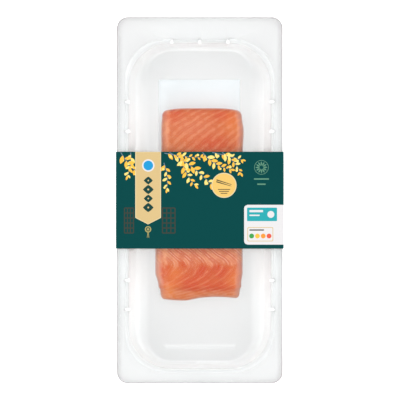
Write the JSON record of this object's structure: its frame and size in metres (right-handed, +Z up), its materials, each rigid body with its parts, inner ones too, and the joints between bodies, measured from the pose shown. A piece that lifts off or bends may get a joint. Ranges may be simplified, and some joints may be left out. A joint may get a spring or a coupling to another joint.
{
  "type": "salmon fillet pack",
  "caption": "Raw skinless salmon portion on an absorbent pad in a sealed film-topped plastic tray, held in a printed green card sleeve.",
  "frame": {"origin": "on the surface the pack lies on, under the middle of its outline", "axes": "+X across the pack, +Y along it towards the wider end flange, +Z up through the film"},
  "size_m": [0.1214, 0.265, 0.0314],
  "materials": {
    "tray_plastic": "thermoformed translucent white sheet",
    "lid_film": "clear taut sealing film",
    "sleeve_card": "satin printed card, deep green",
    "print_gold": "printed gold ink",
    "pad": "white non-woven absorbent pad",
    "salmon": "moist raw salmon flesh with pale fat seams"
  },
  "bodies": {
    "root": {"tray": "tray_plastic", "lid_film": "lid_film", "sleeve": "sleeve_card", "absorbent_pad": "pad", "salmon_fillet": "salmon"}
  },
  "joints": []
}
